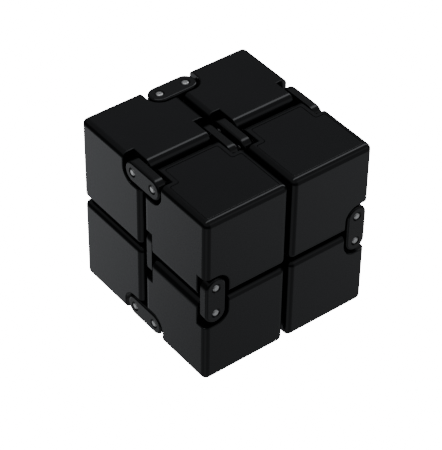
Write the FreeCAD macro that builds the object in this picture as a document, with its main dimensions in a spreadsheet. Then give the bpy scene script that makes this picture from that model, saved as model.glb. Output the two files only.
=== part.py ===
"""A folding fidget cube: eight hollow cubelets in a closed ring, joined by eight two-pin hinges.

Millimetres. Left is -X, front is -Y, up is +Z. The origin is at the middle of the closed cube's underside.
Each cubelet is a shell with a lid. Each hinge is two link plates and two pins. A pin runs through one link
plate, the rail along one cubelet's edge and the other link plate.
"""

import FreeCAD, Part
import Sketcher
import math
import os

Vector = FreeCAD.Vector
START, END, CENTRE = 1, 2, 3
ORIGIN = -1
TOUCHING = 1e-4    # mm, the furthest apart that two points count as one
LEAST_CUT = 0.01   # mm3

# ---------------------------------------------------------------- driving dimensions

DIMENSIONS = {
    "cubelet_size": 19.55,
    "cubelet_gap": 0.9,
    "edge_radius": 1.25,
    "hinge_edge_radius": 2.0,
    "pin_inset": 2.7,
    "pin_radius": 0.8,
    "pin_end_radius": 0.35,
    "bore_radius": 0.85,
    "link_radius": 2.35,
    "link_thickness": 1.95,
    "link_recess": 0.1,
    "link_edge_radius": 0.5,
    "link_hole_chamfer": 0.25,
    "notch_reach": 5.7,
    "notch_depth": 2.65,
    "notch_rim_radius": 0.2,
    "wall": 2.6,
    "floor_thickness": 2.0,
    "rail_width": 4.6,
    "notch_wall": 1.2,
    "lid_margin": 0.05,
    "lid_corner_radius": 0.5,
    "lid_thickness": 1.25,
    "lid_clearance": 0.05,
    "lid_edge_radius": 0.12,
    "lid_notch_wall": 0.9,
    "skirt_height": 2.0,
    "skirt_thickness": 1.0,
    "skirt_clearance": 0.1,
}


class Size:
    """A length as a number in mm, with the spreadsheet expression that gives the same length."""

    def __init__(self, number, text):
        self.number = number
        self.text = text

    def __add__(self, other):
        return Size(self.number + other.number, f"({self.text} + {other.text})")

    def __sub__(self, other):
        return Size(self.number - other.number, f"({self.text} - {other.text})")

    def __mul__(self, factor):
        return Size(self.number * factor, f"({self.text} * {factor})")


doc = FreeCAD.newDocument("folding_cube")
sheet = doc.addObject("Spreadsheet::Sheet", "sizes")
for row, (alias, number) in enumerate(DIMENSIONS.items(), start=1):
    sheet.set(f"A{row}", alias)
    sheet.set(f"B{row}", str(number))
    sheet.setAlias(f"B{row}", alias)
doc.recompute()

D = {alias: Size(number, f"sizes.{alias}") for alias, number in DIMENSIONS.items()}

half = D["cubelet_size"] * 0.5
pitch = (D["cubelet_size"] + D["cubelet_gap"]) * 0.5    # cube's middle to a cubelet's middle
pin_offset = half - D["pin_inset"]                      # cubelet's middle to its pin
link_face = half - D["link_recess"]                     # cubelet's middle to a link plate's outer face
link_half_span = D["pin_inset"] + D["cubelet_gap"] * 0.5
lid_seat = half - D["lid_thickness"]
cavity_side = half - D["wall"]
rail_side = half - D["rail_width"]
block_reach = half - D["notch_reach"] - D["notch_wall"]  # inner corner of the solid round a notch
block_end = half - D["notch_depth"] - D["notch_wall"]
OVERCUT = Size(1.0, "1.0")                               # how far a cutting outline passes the solid
ZERO = Size(0.0, "0.0")

# ---------------------------------------------------------------- sketch and feature helpers


def new_sketch(body, name, plane, offset=None, turn=0):
    """A sketch on one of the body's origin planes, moved along its normal and turned about it."""
    sketch = body.newObject("Sketcher::SketchObject", name)
    datum = next(item for item in body.Origin.OriginFeatures if item.Role == plane)
    sketch.AttachmentSupport = [(datum, "")]
    sketch.MapMode = "FlatFace"
    sketch.AttachmentOffset = FreeCAD.Placement(Vector(), FreeCAD.Rotation(Vector(0, 0, 1), turn))
    if offset:
        sketch.setExpression("AttachmentOffset.Base.z", offset.text)
    return sketch


def constrain(sketch, kind, *where, size=None):
    """One constraint, bound to its size's expression if it has one."""
    values = (size.number,) if size else ()
    index = sketch.addConstraint(Sketcher.Constraint(kind, *where, *values))
    if size:
        sketch.setExpression(f"Constraints[{index}]", size.text)


def fix_point(sketch, edge, point, x, y):
    """Hold a point at x, y from the sketch's origin. A zero puts it on the axis."""
    for kind, axis, size in (("DistanceX", -2, x), ("DistanceY", -1, y)):
        if size.number == 0:
            constrain(sketch, "PointOnObject", edge, point, axis)
        elif size.number > 0:
            constrain(sketch, kind, ORIGIN, START, edge, point, size=size)
        else:
            constrain(sketch, kind, edge, point, ORIGIN, START, size=size * -1)


def draw_polygon(sketch, corners):
    """A closed outline of straight lines through the corners."""
    points = [Vector(x.number, y.number, 0) for x, y in corners]
    first = sketch.GeometryCount
    count = len(points)
    for i, point in enumerate(points):
        sketch.addGeometry(Part.LineSegment(point, points[(i + 1) % count]))
    for i in range(count):
        constrain(sketch, "Coincident", first + i, END, first + (i + 1) % count, START)
    for i, (x, y) in enumerate(corners):
        fix_point(sketch, first + i, START, x, y)


def draw_circle(sketch, x, y, radius):
    centre = Vector(x.number, y.number, 0)
    edge = sketch.addGeometry(Part.Circle(centre, Vector(0, 0, 1), radius.number))
    constrain(sketch, "Radius", edge, size=radius)
    fix_point(sketch, edge, CENTRE, x, y)


def draw_arc(sketch, x, y, radius, start_degrees, end_degrees):
    circle = Part.Circle(Vector(x.number, y.number, 0), Vector(0, 0, 1), radius.number)
    arc = Part.ArcOfCircle(circle, math.radians(start_degrees), math.radians(end_degrees))
    edge = sketch.addGeometry(arc)
    constrain(sketch, "Radius", edge, size=radius)
    fix_point(sketch, edge, CENTRE, x, y)
    return edge


def pad(body, name, sketch, length, midplane=False, downward=False):
    feature = body.newObject("PartDesign::Pad", name)
    feature.Profile = sketch
    feature.Midplane = midplane
    feature.Reversed = downward
    feature.setExpression("Length", length.text)
    doc.recompute()
    return feature


def pocket(body, name, sketch, length, midplane=False, along_normal=False):
    """Cut the sketch's outline out of the body. A pocket that removes nothing is an error."""
    before = body.Shape.Volume
    feature = body.newObject("PartDesign::Pocket", name)
    feature.Profile = sketch
    feature.Midplane = midplane
    feature.Reversed = along_normal
    feature.setExpression("Length", length.text)
    doc.recompute()
    if not body.Shape.Volume < before - LEAST_CUT:
        raise RuntimeError(f"{body.Label}: {name} removes nothing")
    return feature


def dress(body, kind, name, edges, size_property, size):
    """A fillet or chamfer on the given edges of the body's last feature."""
    base = body.Tip
    names = [f"Edge{i}" for i, edge in enumerate(base.Shape.Edges, start=1) if edges(edge)]
    feature = body.newObject(kind, name)
    feature.Base = (base, names)
    feature.setExpression(size_property, size.text)
    doc.recompute()
    return feature


def middle_of(edge):
    return edge.valueAt((edge.FirstParameter + edge.LastParameter) / 2)


def is_circle(edge):
    return isinstance(edge.Curve, Part.Circle)


def lies_at(edge, height):
    """Whether the edge lies in the plane at this height on Z."""
    return all(abs(vertex.Z - height) < TOUCHING for vertex in edge.Vertexes)


def new_body(label):
    body = doc.addObject("PartDesign::Body", label)
    body.Label = label
    return body


# ---------------------------------------------------------------- cubelets
# A cubelet's own frame has its middle at the origin and its lid on +Z. Its first hinge edge runs along X at
# +Y, +Z. Its second runs along Y at -Z and at -X on a right-handed cubelet or +X on a left-handed one.

FIRST_HINGE = ("YZ_Plane", 0)
SECOND_HINGE = {1: ("XZ_Plane", 180), -1: ("XZ_Plane", 270)}


def notched_outline(sketch, side, end_x, notch_x, notch_y):
    """A square outline of half-width side whose two corners at +Y are cut away for the notches."""
    draw_polygon(sketch, [
        (side * -1, side * -1), (side, side * -1), (side, notch_y), (notch_x, notch_y),
        (notch_x, end_x), (notch_x * -1, end_x), (notch_x * -1, notch_y), (side * -1, notch_y),
    ])


def cut_cavity(body, hand):
    """The hollow: full width down to the second hinge's rail, then clear of that rail to the floor."""
    upper = new_sketch(body, "cavity_upper_outline", "XY_Plane", lid_seat)
    notched_outline(upper, cavity_side, rail_side, block_end, block_reach)
    pocket(body, "cavity_upper", upper, lid_seat + block_reach)

    lower = new_sketch(body, "cavity_lower_outline", "XY_Plane", block_reach * -1)
    outline = [
        (rail_side * -1, block_end * -1), (block_reach * -1, block_end * -1),
        (block_reach * -1, cavity_side * -1), (cavity_side, cavity_side * -1),
        (cavity_side, block_reach), (block_end, block_reach),
        (block_end, rail_side), (block_reach * -1, rail_side), (rail_side * -1, rail_side),
    ]
    draw_polygon(lower, [(x * hand, y) for x, y in outline])
    pocket(body, "cavity_lower", lower, half - D["floor_thickness"] - block_reach)


def cut_notches(body, name, plane, turn):
    """A notch at both ends of one hinge edge, and the rounded rim where it meets the outer faces."""
    outer_skin = body.Tip.Shape.Shells[0]
    notch_skins = []
    for end, direction in (("near", 1), ("far", -1)):
        sketch = new_sketch(body, f"{name}_notch_outline_{end}", plane, half * direction, turn)
        draw_notch(sketch)
        notch = pocket(body, f"{name}_notch_{end}", sketch, D["notch_depth"], along_normal=direction < 0)
        notch_skins.append(notch.AddSubShape.Shells[0])

    def on_rim(edge):
        point = Part.Vertex(middle_of(edge))
        on_notch = min(point.distToShape(skin)[0] for skin in notch_skins) < TOUCHING
        return on_notch and point.distToShape(outer_skin)[0] < TOUCHING

    dress(body, "PartDesign::Fillet", f"{name}_notch_rims", on_rim, "Radius", D["notch_rim_radius"])


def draw_notch(sketch):
    """The notch's section: a corner cut whose inner corner is an arc about the pin."""
    reach = half - D["notch_reach"]
    outside = half + OVERCUT
    arc_radius = D["notch_reach"] - D["pin_inset"]
    arc = draw_arc(sketch, pin_offset, pin_offset, arc_radius, 180, 270)
    near, pin, far = reach.number, pin_offset.number, outside.number
    corners = [Vector(x, y, 0) for x, y in ((pin, near), (far, near), (far, far), (near, far), (near, pin))]
    lines = [Part.LineSegment(start, end) for start, end in zip(corners, corners[1:])]
    foot, right, top, left = [sketch.addGeometry(line) for line in lines]
    constrain(sketch, "Tangent", arc, END, foot, START)
    constrain(sketch, "Tangent", left, END, arc, START)
    for first, second in ((foot, right), (right, top), (top, left)):
        constrain(sketch, "Coincident", first, END, second, START)
    for line, kind in ((foot, "Horizontal"), (right, "Vertical"), (top, "Horizontal"), (left, "Vertical")):
        constrain(sketch, kind, line)
    fix_point(sketch, top, START, outside, outside)


def cut_bore(body, name, plane, turn):
    sketch = new_sketch(body, f"{name}_bore_outline", plane, None, turn)
    draw_circle(sketch, pin_offset, pin_offset, D["bore_radius"])
    pocket(body, f"{name}_bore", sketch, D["cubelet_size"], midplane=True)


def lid_outline(sketch, clearance):
    """The lid's outline, or its seat's with no clearance: inside the rounded edges, clear of the notches."""
    side = half - D["edge_radius"] - D["lid_margin"] - clearance
    hinge_side = half - D["hinge_edge_radius"] - D["lid_margin"] - clearance
    notch_x = half - D["notch_depth"] - D["lid_notch_wall"] - clearance
    notch_y = half - D["notch_reach"] - D["lid_notch_wall"] - clearance
    notched_outline(sketch, side, hinge_side, notch_x, notch_y)


def is_lid_corner(edge):
    """An upright edge of the lid's outline, or of its seat's."""
    ends = [vertex.Point for vertex in edge.Vertexes]
    if len(ends) != 2 or math.hypot(ends[0].x - ends[1].x, ends[0].y - ends[1].y) > TOUCHING:
        return False
    return abs(min(end.z for end in ends) - lid_seat.number) < TOUCHING


def make_shell(label, hand):
    body = new_body(label)
    outline = new_sketch(body, "block_outline", "XY_Plane")
    draw_polygon(outline, [(half * x, half * y) for x, y in ((-1, -1), (1, -1), (1, 1), (-1, 1))])
    pad(body, "block", outline, D["cubelet_size"], midplane=True)

    def on_hinge_edge(edge):
        x, y, z = middle_of(edge)
        corner = half.number * 1.5
        return y + z > corner or -z - x * hand > corner

    def on_other_edge(edge):
        return not on_hinge_edge(edge)

    dress(body, "PartDesign::Fillet", "rounded_hinge_edges", on_hinge_edge, "Radius", D["hinge_edge_radius"])
    dress(body, "PartDesign::Fillet", "rounded_edges", on_other_edge, "Radius", D["edge_radius"])
    hinges = {"first": FIRST_HINGE, "second": SECOND_HINGE[hand]}
    for name, (plane, turn) in hinges.items():
        cut_notches(body, name, plane, turn)
    seat = new_sketch(body, "lid_seat_outline", "XY_Plane", half)
    lid_outline(seat, ZERO)
    pocket(body, "lid_seat", seat, D["lid_thickness"])
    dress(body, "PartDesign::Fillet", "lid_seat_corners", is_lid_corner, "Radius", D["lid_corner_radius"])
    cut_cavity(body, hand)
    for name, (plane, turn) in hinges.items():
        cut_bore(body, name, plane, turn)
    return body


def make_lid(label):
    """A flat panel with a rounded outer edge and a locating skirt that drops inside the shell's walls."""
    body = new_body(label)
    outline = new_sketch(body, "panel_outline", "XY_Plane", lid_seat)
    lid_outline(outline, D["lid_clearance"])
    pad(body, "panel", outline, D["lid_thickness"])
    dress(body, "PartDesign::Fillet", "panel_corners", is_lid_corner, "Radius", D["lid_corner_radius"])

    skirt = new_sketch(body, "skirt_outline", "XY_Plane", lid_seat)
    for inset in (D["skirt_clearance"], D["skirt_clearance"] + D["skirt_thickness"]):
        side = cavity_side - inset
        back = block_reach - inset
        draw_polygon(skirt, [(side * -1, side * -1), (side, side * -1), (side, back), (side * -1, back)])
    pad(body, "skirt", skirt, D["skirt_height"], downward=True)

    def panel_edge(edge):
        return lies_at(edge, half.number)

    dress(body, "PartDesign::Fillet", "panel_edge", panel_edge, "Radius", D["lid_edge_radius"])
    return body


# ---------------------------------------------------------------- hinge pieces


def make_link(label):
    """A plate with round ends, its outer face on the XY plane and its pin holes along X."""
    body = new_body(label)
    outline = new_sketch(body, "plate_outline", "XY_Plane")
    radius = D["link_radius"]
    right_end = draw_arc(outline, link_half_span, ZERO, radius, -90, 90)
    left_end = draw_arc(outline, link_half_span * -1, ZERO, radius, 90, 270)
    span = link_half_span.number
    high = radius.number
    top = outline.addGeometry(Part.LineSegment(Vector(span, high, 0), Vector(-span, high, 0)))
    bottom = outline.addGeometry(Part.LineSegment(Vector(-span, -high, 0), Vector(span, -high, 0)))
    for first, second in ((right_end, top), (top, left_end), (left_end, bottom), (bottom, right_end)):
        constrain(outline, "Tangent", first, END, second, START)
    for x in (link_half_span, link_half_span * -1):
        draw_circle(outline, x, ZERO, D["pin_radius"])
    pad(body, "plate", outline, D["link_thickness"], downward=True)

    def hole_mouth(edge):
        return lies_at(edge, 0) and is_circle(edge) and edge.Curve.Radius < high / 2

    def plate_rim(edge):
        return lies_at(edge, 0) and not hole_mouth(edge)

    dress(body, "PartDesign::Chamfer", "hole_mouths", hole_mouth, "Size", D["link_hole_chamfer"])
    dress(body, "PartDesign::Fillet", "plate_rim", plate_rim, "Radius", D["link_edge_radius"])
    return body


def make_pin(label):
    """A plain shaft along Z with rounded ends, centred on the origin."""
    body = new_body(label)
    outline = new_sketch(body, "shaft_outline", "XY_Plane")
    draw_circle(outline, ZERO, ZERO, D["pin_radius"])
    pad(body, "shaft", outline, link_face * 2, midplane=True)
    dress(body, "PartDesign::Fillet", "rounded_ends", is_circle, "Radius", D["pin_end_radius"])
    return body


# ---------------------------------------------------------------- the assembly

LEFT, RIGHT = Vector(-1, 0, 0), Vector(1, 0, 0)
FRONT, BACK = Vector(0, -1, 0), Vector(0, 1, 0)
DOWN, UP = Vector(0, 0, -1), Vector(0, 0, 1)

# In the order of the ring: the cubelet's corner of the cube, the side its lid is on, the side from its middle
# towards the hinge on its lid's edge, and its hand.
CUBELETS = {
    "front_left_upper": (LEFT + FRONT + UP, UP, BACK, 1),
    "back_left_upper": (LEFT + BACK + UP, BACK, RIGHT, -1),
    "back_right_upper": (RIGHT + BACK + UP, BACK, LEFT, 1),
    "front_right_upper": (RIGHT + FRONT + UP, UP, BACK, -1),
    "front_right_lower": (RIGHT + FRONT + DOWN, DOWN, BACK, 1),
    "back_right_lower": (RIGHT + BACK + DOWN, BACK, LEFT, -1),
    "back_left_lower": (LEFT + BACK + DOWN, BACK, RIGHT, 1),
    "front_left_lower": (LEFT + FRONT + DOWN, DOWN, BACK, -1),
}

# The cube's side that the hinge lies on, the place of its middle across that side, and the way from one of
# its two pins to the other, with the names of those two sides.
HINGES = {
    "top_left": (UP, LEFT, BACK, ("front", "back")),
    "top_right": (UP, RIGHT, BACK, ("front", "back")),
    "bottom_left": (DOWN, LEFT, BACK, ("front", "back")),
    "bottom_right": (DOWN, RIGHT, BACK, ("front", "back")),
    "back_upper": (BACK, UP, RIGHT, ("left", "right")),
    "back_lower": (BACK, DOWN, RIGHT, ("left", "right")),
    "left_side": (LEFT, FRONT, UP, ("lower", "upper")),
    "right_side": (RIGHT, FRONT, UP, ("lower", "upper")),
}


def place(body, x_axis, y_axis, z_axis, offsets):
    """Turn the body to the three axes and put its origin at the sum of direction times size."""
    turn = FreeCAD.Rotation(x_axis, y_axis, z_axis, "XYZ")
    body.Placement = FreeCAD.Placement(Vector(), turn)
    middle_height = (UP, pitch + half)
    for axis in "xyz":
        terms = [size * getattr(direction, axis) for direction, size in [*offsets, middle_height]]
        total = terms[0]
        for term in terms[1:]:
            total = total + term
        body.setExpression(f"Placement.Base.{axis}", total.text)


pieces = []
for name, (corner, lid_side, hinge_side, hand) in CUBELETS.items():
    for piece in (make_shell(f"shell_{name}", hand), make_lid(f"lid_{name}")):
        place(piece, hinge_side.cross(lid_side), hinge_side, lid_side, [(corner, pitch)])
        pieces.append(piece)

for name, (side, along, across, pin_names) in HINGES.items():
    on_axis = [(side, pitch + pin_offset), (along, pitch)]
    for direction, end in ((1, "outer"), (-1, "inner")):
        link = make_link(f"link_{name}_{end}")
        outward = along * direction
        place(link, across, outward.cross(across), outward, [*on_axis, (outward, link_face)])
        pieces.append(link)
    for direction, pin_name in zip((-1, 1), pin_names):
        pin = make_pin(f"pin_{name}_{pin_name}")
        place(pin, across, along.cross(across), along, [*on_axis, (across * direction, link_half_span)])
        pieces.append(pin)

doc.recompute()
failed = [item.Label for item in doc.Objects if {"Invalid", "Error"} & set(item.State)]
if failed:
    raise RuntimeError(f"not computed: {failed}")
for piece in pieces:
    shape = piece.Shape
    if shape.isNull() or not shape.isValid() or len(shape.Solids) != 1:
        raise RuntimeError(f"{piece.Label} is not one valid solid")

os.makedirs("parts", exist_ok=True)
for piece in pieces:
    piece.Shape.exportStep(f"parts/{piece.Label}.step")
print(f"wrote {len(pieces)} pieces")
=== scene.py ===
"""Looks for the folding fidget cube: black moulded plastic, steel pins, a pale floor and soft studio light.

Metres, in the CAD model's frame: left is -X, front is -Y, up is +Z, and the floor is z = 0.
"""

import math

import bpy
from mathutils import Matrix, Vector


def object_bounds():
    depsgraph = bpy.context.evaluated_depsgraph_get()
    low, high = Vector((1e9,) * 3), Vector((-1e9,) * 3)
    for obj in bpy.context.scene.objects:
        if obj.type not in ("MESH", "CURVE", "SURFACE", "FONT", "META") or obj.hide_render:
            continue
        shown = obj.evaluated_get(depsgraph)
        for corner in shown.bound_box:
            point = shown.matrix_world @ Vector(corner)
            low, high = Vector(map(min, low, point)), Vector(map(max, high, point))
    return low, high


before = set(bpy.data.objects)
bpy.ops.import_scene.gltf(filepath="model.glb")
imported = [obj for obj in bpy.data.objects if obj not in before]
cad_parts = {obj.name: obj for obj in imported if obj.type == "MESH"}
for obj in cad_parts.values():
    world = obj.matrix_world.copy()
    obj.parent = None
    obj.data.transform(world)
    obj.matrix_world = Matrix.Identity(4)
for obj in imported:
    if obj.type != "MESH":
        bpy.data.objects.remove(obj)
CAD_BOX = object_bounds()
MIDDLE = (CAD_BOX[0] + CAD_BOX[1]) / 2
MM = 0.001

# ---------------------------------------------------------------- camera

CAMERA_AZIMUTH = math.radians(-38.16)
CAMERA_ELEVATION = math.radians(40.95)
CAMERA_ROLL = math.radians(0.95)
CAMERA_DISTANCE = 385.1 * MM
CAMERA_SIDE_STEP = -0.71 * MM
CAMERA_RISE = -2.94 * MM
CAMERA_LENS = 155.5


def make_camera():
    """A camera to the front left, above the cube."""
    azimuth, elevation = CAMERA_AZIMUTH, CAMERA_ELEVATION
    back = Vector((
        math.sin(azimuth) * math.cos(elevation),
        -math.cos(azimuth) * math.cos(elevation),
        math.sin(elevation),
    ))
    level_right = Vector((0, 0, 1)).cross(back).normalized()
    level_up = back.cross(level_right)
    roll = Matrix.Rotation(CAMERA_ROLL, 3, back)
    right, up = roll @ level_right, roll @ level_up
    camera = bpy.data.objects.new("camera", bpy.data.cameras.new("camera"))
    bpy.context.scene.collection.objects.link(camera)
    camera.data.lens = CAMERA_LENS
    camera.data.clip_start = 0.01
    camera.data.clip_end = 10
    axes = Matrix((right, up, back)).transposed()
    place = MIDDLE + right * CAMERA_SIDE_STEP + up * CAMERA_RISE + back * CAMERA_DISTANCE
    camera.matrix_world = Matrix.Translation(place) @ axes.to_4x4()
    bpy.context.scene.camera = camera


# ---------------------------------------------------------------- node helpers

# The largest part of a normal: up to the first on a rounded edge, from the second on a flat face.
EDGE_COSINE, FACE_COSINE = 0.985, 0.9995


class Nodes:
    """A material's node tree, with short calls for the nodes used here."""

    def __init__(self, name):
        self.material = bpy.data.materials.new(name)
        self.material.use_nodes = True
        self.tree = self.material.node_tree
        self.tree.nodes.clear()
        self.shader = self.add("ShaderNodeBsdfPrincipled")
        output = self.add("ShaderNodeOutputMaterial")
        self.link(self.shader.outputs["BSDF"], output.inputs["Surface"])
        self.place = self.add("ShaderNodeTexCoord").outputs["Object"]

    def add(self, kind, **settings):
        node = self.tree.nodes.new(kind)
        for key, value in settings.items():
            setattr(node, key, value)
        return node

    def link(self, source, target):
        self.tree.links.new(source, target)

    def feed(self, target, value):
        """Link an output to the input, or set a plain value on it."""
        if isinstance(value, bpy.types.NodeSocket):
            self.link(value, target)
        else:
            target.default_value = value

    def math(self, operation, first, second=0.0):
        node = self.add("ShaderNodeMath", operation=operation)
        self.feed(node.inputs[0], first)
        self.feed(node.inputs[1], second)
        return node.outputs[0]

    def noise(self, size_mm, detail=2.0, roughness=0.5):
        """Noise whose blobs are about size_mm across, from 0 to 1."""
        node = self.add("ShaderNodeTexNoise")
        self.link(self.place, node.inputs["Vector"])
        node.inputs["Scale"].default_value = 1 / (size_mm * MM)
        node.inputs["Detail"].default_value = detail
        node.inputs["Roughness"].default_value = roughness
        return node.outputs["Fac"]

    def remap(self, value, low, high, new_low, new_high):
        """Low to high becomes new_low to new_high, eased and held at both ends."""
        node = self.add("ShaderNodeMapRange", interpolation_type="SMOOTHSTEP")
        for socket, number in zip(node.inputs, (value, low, high, new_low, new_high)):
            self.feed(socket, number)
        return node.outputs["Result"]

    def mix_colour(self, factor, first, second):
        node = self.add("ShaderNodeMix", data_type="RGBA")
        self.feed(node.inputs[0], factor)
        self.feed(node.inputs[6], first)
        self.feed(node.inputs[7], second)
        return node.outputs[2]

    def mix_number(self, factor, first, second):
        node = self.add("ShaderNodeMix", data_type="FLOAT")
        for index, value in ((0, factor), (2, first), (3, second)):
            self.feed(node.inputs[index], value)
        return node.outputs[0]

    def bump(self, height, depth):
        node = self.add("ShaderNodeBump")
        node.inputs["Distance"].default_value = depth
        self.feed(node.inputs["Height"], height)
        return node.outputs["Normal"]

    def flatness(self):
        """1 on the flat faces that lie along the body's axes, 0 on rounded edges."""
        normal = self.add("ShaderNodeTexCoord").outputs["Normal"]
        split = self.add("ShaderNodeSeparateXYZ")
        self.link(normal, split.inputs[0])
        sides = [self.math("ABSOLUTE", socket) for socket in split.outputs]
        largest = self.math("MAXIMUM", self.math("MAXIMUM", sides[0], sides[1]), sides[2])
        return self.remap(largest, EDGE_COSINE, FACE_COSINE, 0.0, 1.0)


# ---------------------------------------------------------------- materials

BODY_BLACK = (0.006, 0.006, 0.007, 1)
LINK_BLACK = (0.007, 0.007, 0.0075, 1)
BODY_FINISH = {"face_roughness": 0.20, "edge_roughness": 0.13, "grain_mm": 0.16}
LINK_FINISH = {"face_roughness": 0.24, "edge_roughness": 0.15, "grain_mm": 0.22}
GRAIN_DEPTH = 0.005 * MM
STEEL_BRIGHT = (0.80, 0.80, 0.79, 1)
STEEL_TARNISHED = (0.60, 0.59, 0.57, 1)
PLASTIC_IOR = 1.5
# How far across the marks in the plastic are.
CLOUD_MM, RUB_MM, WEAR_MM = 9.0, 2.6, 1.1


def shade(colour, factor):
    """The colour made lighter or darker, with its alpha kept."""
    return [channel * factor for channel in colour[:3]] + [1]


def moulded_plastic(name, colour, face_roughness, edge_roughness, grain_mm):
    """Black plastic: finely grained flat faces with faint rubs, and glossier, lightly worn rounded edges,
    whose colour is halved as painted shade.
    """
    nodes = Nodes(name)
    # flat tells the faces from the rounded edges: it sets the finish and the grain, and it places the
    # painted shade on the edges.
    flat = nodes.flatness()
    cloud = nodes.remap(nodes.noise(CLOUD_MM, 3.0), 0.3, 0.7, 0.0, 1.0)
    rub = nodes.remap(nodes.noise(RUB_MM, 6.0, 0.65), 0.62, 0.82, 0.0, 1.0)
    wear = nodes.remap(nodes.noise(WEAR_MM, 5.0, 0.7), 0.60, 0.74, 0.0, 1.0)
    clouded = nodes.mix_colour(cloud, colour, shade(colour, 1.25))
    face = nodes.mix_colour(nodes.math("MULTIPLY", rub, 0.22), clouded, shade(colour, 2.2))
    # Painted shade: the rounded edges get half the plastic's colour to darken them. The wear scuffs
    # lightening them are real.
    edge = nodes.mix_colour(nodes.math("MULTIPLY", wear, 0.35), shade(colour, 0.5), shade(colour, 2.5))
    nodes.link(nodes.mix_colour(flat, edge, face), nodes.shader.inputs["Base Color"])
    grain = nodes.noise(grain_mm, 2.0, 0.6)
    face_finish = nodes.math("ADD", nodes.remap(grain, 0.3, 0.7, -0.04, 0.04), face_roughness)
    edge_finish = nodes.math("ADD", nodes.math("MULTIPLY", wear, 0.10), edge_roughness)
    nodes.link(nodes.mix_number(flat, edge_finish, face_finish), nodes.shader.inputs["Roughness"])
    nodes.link(nodes.bump(nodes.math("MULTIPLY", grain, flat), GRAIN_DEPTH), nodes.shader.inputs["Normal"])
    nodes.shader.inputs["IOR"].default_value = PLASTIC_IOR
    return nodes.material


def pin_steel():
    """Bright steel with fine marks and faint tarnish."""
    nodes = Nodes("pin_steel")
    tarnish = nodes.remap(nodes.noise(0.5, 4.0, 0.6), 0.45, 0.75, 0.0, 1.0)
    nodes.link(
        nodes.mix_colour(tarnish, STEEL_BRIGHT, STEEL_TARNISHED),
        nodes.shader.inputs["Base Color"],
    )
    nodes.shader.inputs["Metallic"].default_value = 1.0
    nodes.link(nodes.remap(nodes.noise(0.12, 3.0), 0.3, 0.7, 0.22, 0.36), nodes.shader.inputs["Roughness"])
    nodes.link(nodes.bump(nodes.noise(0.08, 2.0), GRAIN_DEPTH), nodes.shader.inputs["Normal"])
    return nodes.material



def dress_pieces():
    """Give every piece the material of its kind, which is the first word of its name."""
    materials = {
        "shell": moulded_plastic("shell_plastic", BODY_BLACK, **BODY_FINISH),
        "lid": moulded_plastic("lid_plastic", BODY_BLACK, **BODY_FINISH),
        "link": moulded_plastic("link_plastic", LINK_BLACK, **LINK_FINISH),
        "pin": pin_steel(),
    }
    for name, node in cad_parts.items():
        kind = name.split("_")[0]
        node.data.materials.clear()
        node.data.materials.append(materials[kind])


# ---------------------------------------------------------------- floor and light

STUDIO_WHITE = (0.93, 0.96, 1.0, 1)
FLOOR_RADIUS = 1.6
FLOOR_SIDES = 96
FLOOR_PAINT = (0.88, 0.88, 0.88, 1)
FLOOR_GLOW = 18.0
STRIP_SOFTNESS = 0.25  # share of the strip's width over which its edge fades, each way


def make_floor():
    """A round white floor that glows evenly, seen by the camera only: it casts no light or shadow."""
    turns = [math.tau * i / FLOOR_SIDES for i in range(FLOOR_SIDES)]
    ring = [(FLOOR_RADIUS * math.cos(turn), FLOOR_RADIUS * math.sin(turn), 0) for turn in turns]
    mesh = bpy.data.meshes.new("floor")
    mesh.from_pydata(ring, [], [range(FLOOR_SIDES)])
    floor = bpy.data.objects.new("floor", mesh)
    bpy.context.scene.collection.objects.link(floor)
    nodes = Nodes("floor_paint")
    nodes.shader.inputs["Base Color"].default_value = FLOOR_PAINT
    nodes.shader.inputs["Roughness"].default_value = 0.9
    nodes.shader.inputs["Specular IOR Level"].default_value = 0.1
    nodes.shader.inputs["Emission Color"].default_value = (1, 1, 1, 1)
    nodes.shader.inputs["Emission Strength"].default_value = FLOOR_GLOW
    mesh.materials.append(nodes.material)
    floor.visible_glossy = False
    floor.visible_diffuse = False
    floor.visible_shadow = False


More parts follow.
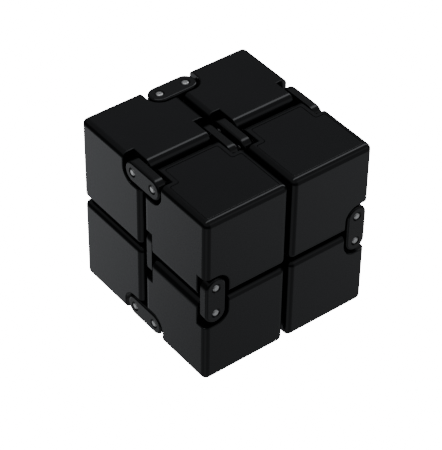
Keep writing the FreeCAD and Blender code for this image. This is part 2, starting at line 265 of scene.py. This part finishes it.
class Sky:
    """A studio surround: an even dim light, with soft-edged cards added to it."""

    def __init__(self, base):
        world = bpy.data.worlds.new("studio")
        bpy.context.scene.world = world
        world.use_nodes = True
        self.tree = world.node_tree
        self.background = self.tree.nodes["Background"]
        self.background.inputs["Color"].default_value = STUDIO_WHITE
        self.direction = self.tree.nodes.new("ShaderNodeTexCoord").outputs["Generated"]
        self.total = base

    def math(self, operation, first, second=0.0):
        node = self.tree.nodes.new("ShaderNodeMath")
        node.operation = operation
        for socket, value in zip(node.inputs, (first, second)):
            if isinstance(value, bpy.types.NodeSocket):
                self.tree.links.new(value, socket)
            else:
                socket.default_value = value
        return node.outputs[0]

    def along(self, axis):
        """How far the direction leans along an axis, as a cosine."""
        node = self.tree.nodes.new("ShaderNodeVectorMath")
        node.operation = "DOT_PRODUCT"
        self.tree.links.new(self.direction, node.inputs[0])
        node.inputs[1].default_value = Vector(axis).normalized()
        return node.outputs["Value"]

    def ramp(self, value, start, end):
        """0 at start, 1 at end, smooth between."""
        node = self.tree.nodes.new("ShaderNodeMapRange")
        node.interpolation_type = "SMOOTHSTEP"
        self.tree.links.new(value, node.inputs[0])
        node.inputs["From Min"].default_value = start
        node.inputs["From Max"].default_value = end
        return node.outputs["Result"]

    def add(self, shape, strength):
        self.total = self.math("ADD", self.total, self.math("MULTIPLY", shape, strength))

    def card(self, strength, *edges):
        """A card of light with soft edges: for each, an axis and the cosines where it begins and is full."""
        shape = 1.0
        for axis, begin, full in edges:
            shape = self.math("MULTIPLY", shape, self.ramp(self.along(axis), begin, full))
        self.add(shape, strength)

    def strip(self, axis, across, half_degrees, long_degrees, strength):
        """A long softbox: narrow along `across`, wide the other way."""
        centre = Vector(axis).normalized()
        across = (Vector(across) - centre * Vector(across).dot(centre)).normalized()
        limits = ((across, half_degrees), (centre.cross(across), long_degrees))
        shape = self.ramp(self.along(centre), 0.0, 0.2)  # nothing on the far side of the room
        for side, degrees in limits:
            lean = self.math("ABSOLUTE", self.along(side))
            limit = math.sin(math.radians(degrees))
            edge = self.ramp(lean, limit * (1 + STRIP_SOFTNESS), limit * (1 - STRIP_SOFTNESS))
            shape = self.math("MULTIPLY", shape, edge)
        self.add(shape, strength)

    def finish(self):
        self.tree.links.new(self.total, self.background.inputs["Strength"])


LEFT, RIGHT = (-1, 0, 0), (1, 0, 0)
FRONT, BACK = (0, -1, 0), (0, 1, 0)
DOWN, UP = (0, 0, -1), (0, 0, 1)


def make_light():
    """A dim room with five cards below and in front, a faint ceiling and a long softbox overhead."""
    sky = Sky(0.05)
    ceiling = (UP, 0.22, 0.52)
    low = (DOWN, 0.25, 0.50)
    steeply_low = (DOWN, 0.45, 0.58)
    sky.card(0.15, ceiling)
    sky.card(0.13, low)
    # behind to the left, for the faces that look left
    sky.card(0.53, (BACK, 0.53, 0.69), steeply_low, (LEFT, 0.10, 0.30))
    # to the right, for the faces that look to the front
    sky.card(0.26, (RIGHT, 0.20, 0.45), steeply_low, (UP, -0.72, -0.61), (FRONT, 0.30, 0.50))
    # to the front left, for the upright edges
    sky.card(0.10, low, (LEFT, 0.25, 0.50), (FRONT, 0.15, 0.40))
    # to the front and a little right, for the front top edges
    sky.card(0.16, (FRONT, 0.45, 0.65), (RIGHT, 0.10, 0.40), (UP, -0.50, -0.20))
    sky.strip((0.464, 0.22, 0.86), BACK, 9, 45, 1.5)
    sky.finish()


make_camera()
dress_pieces()
make_floor()
make_light()
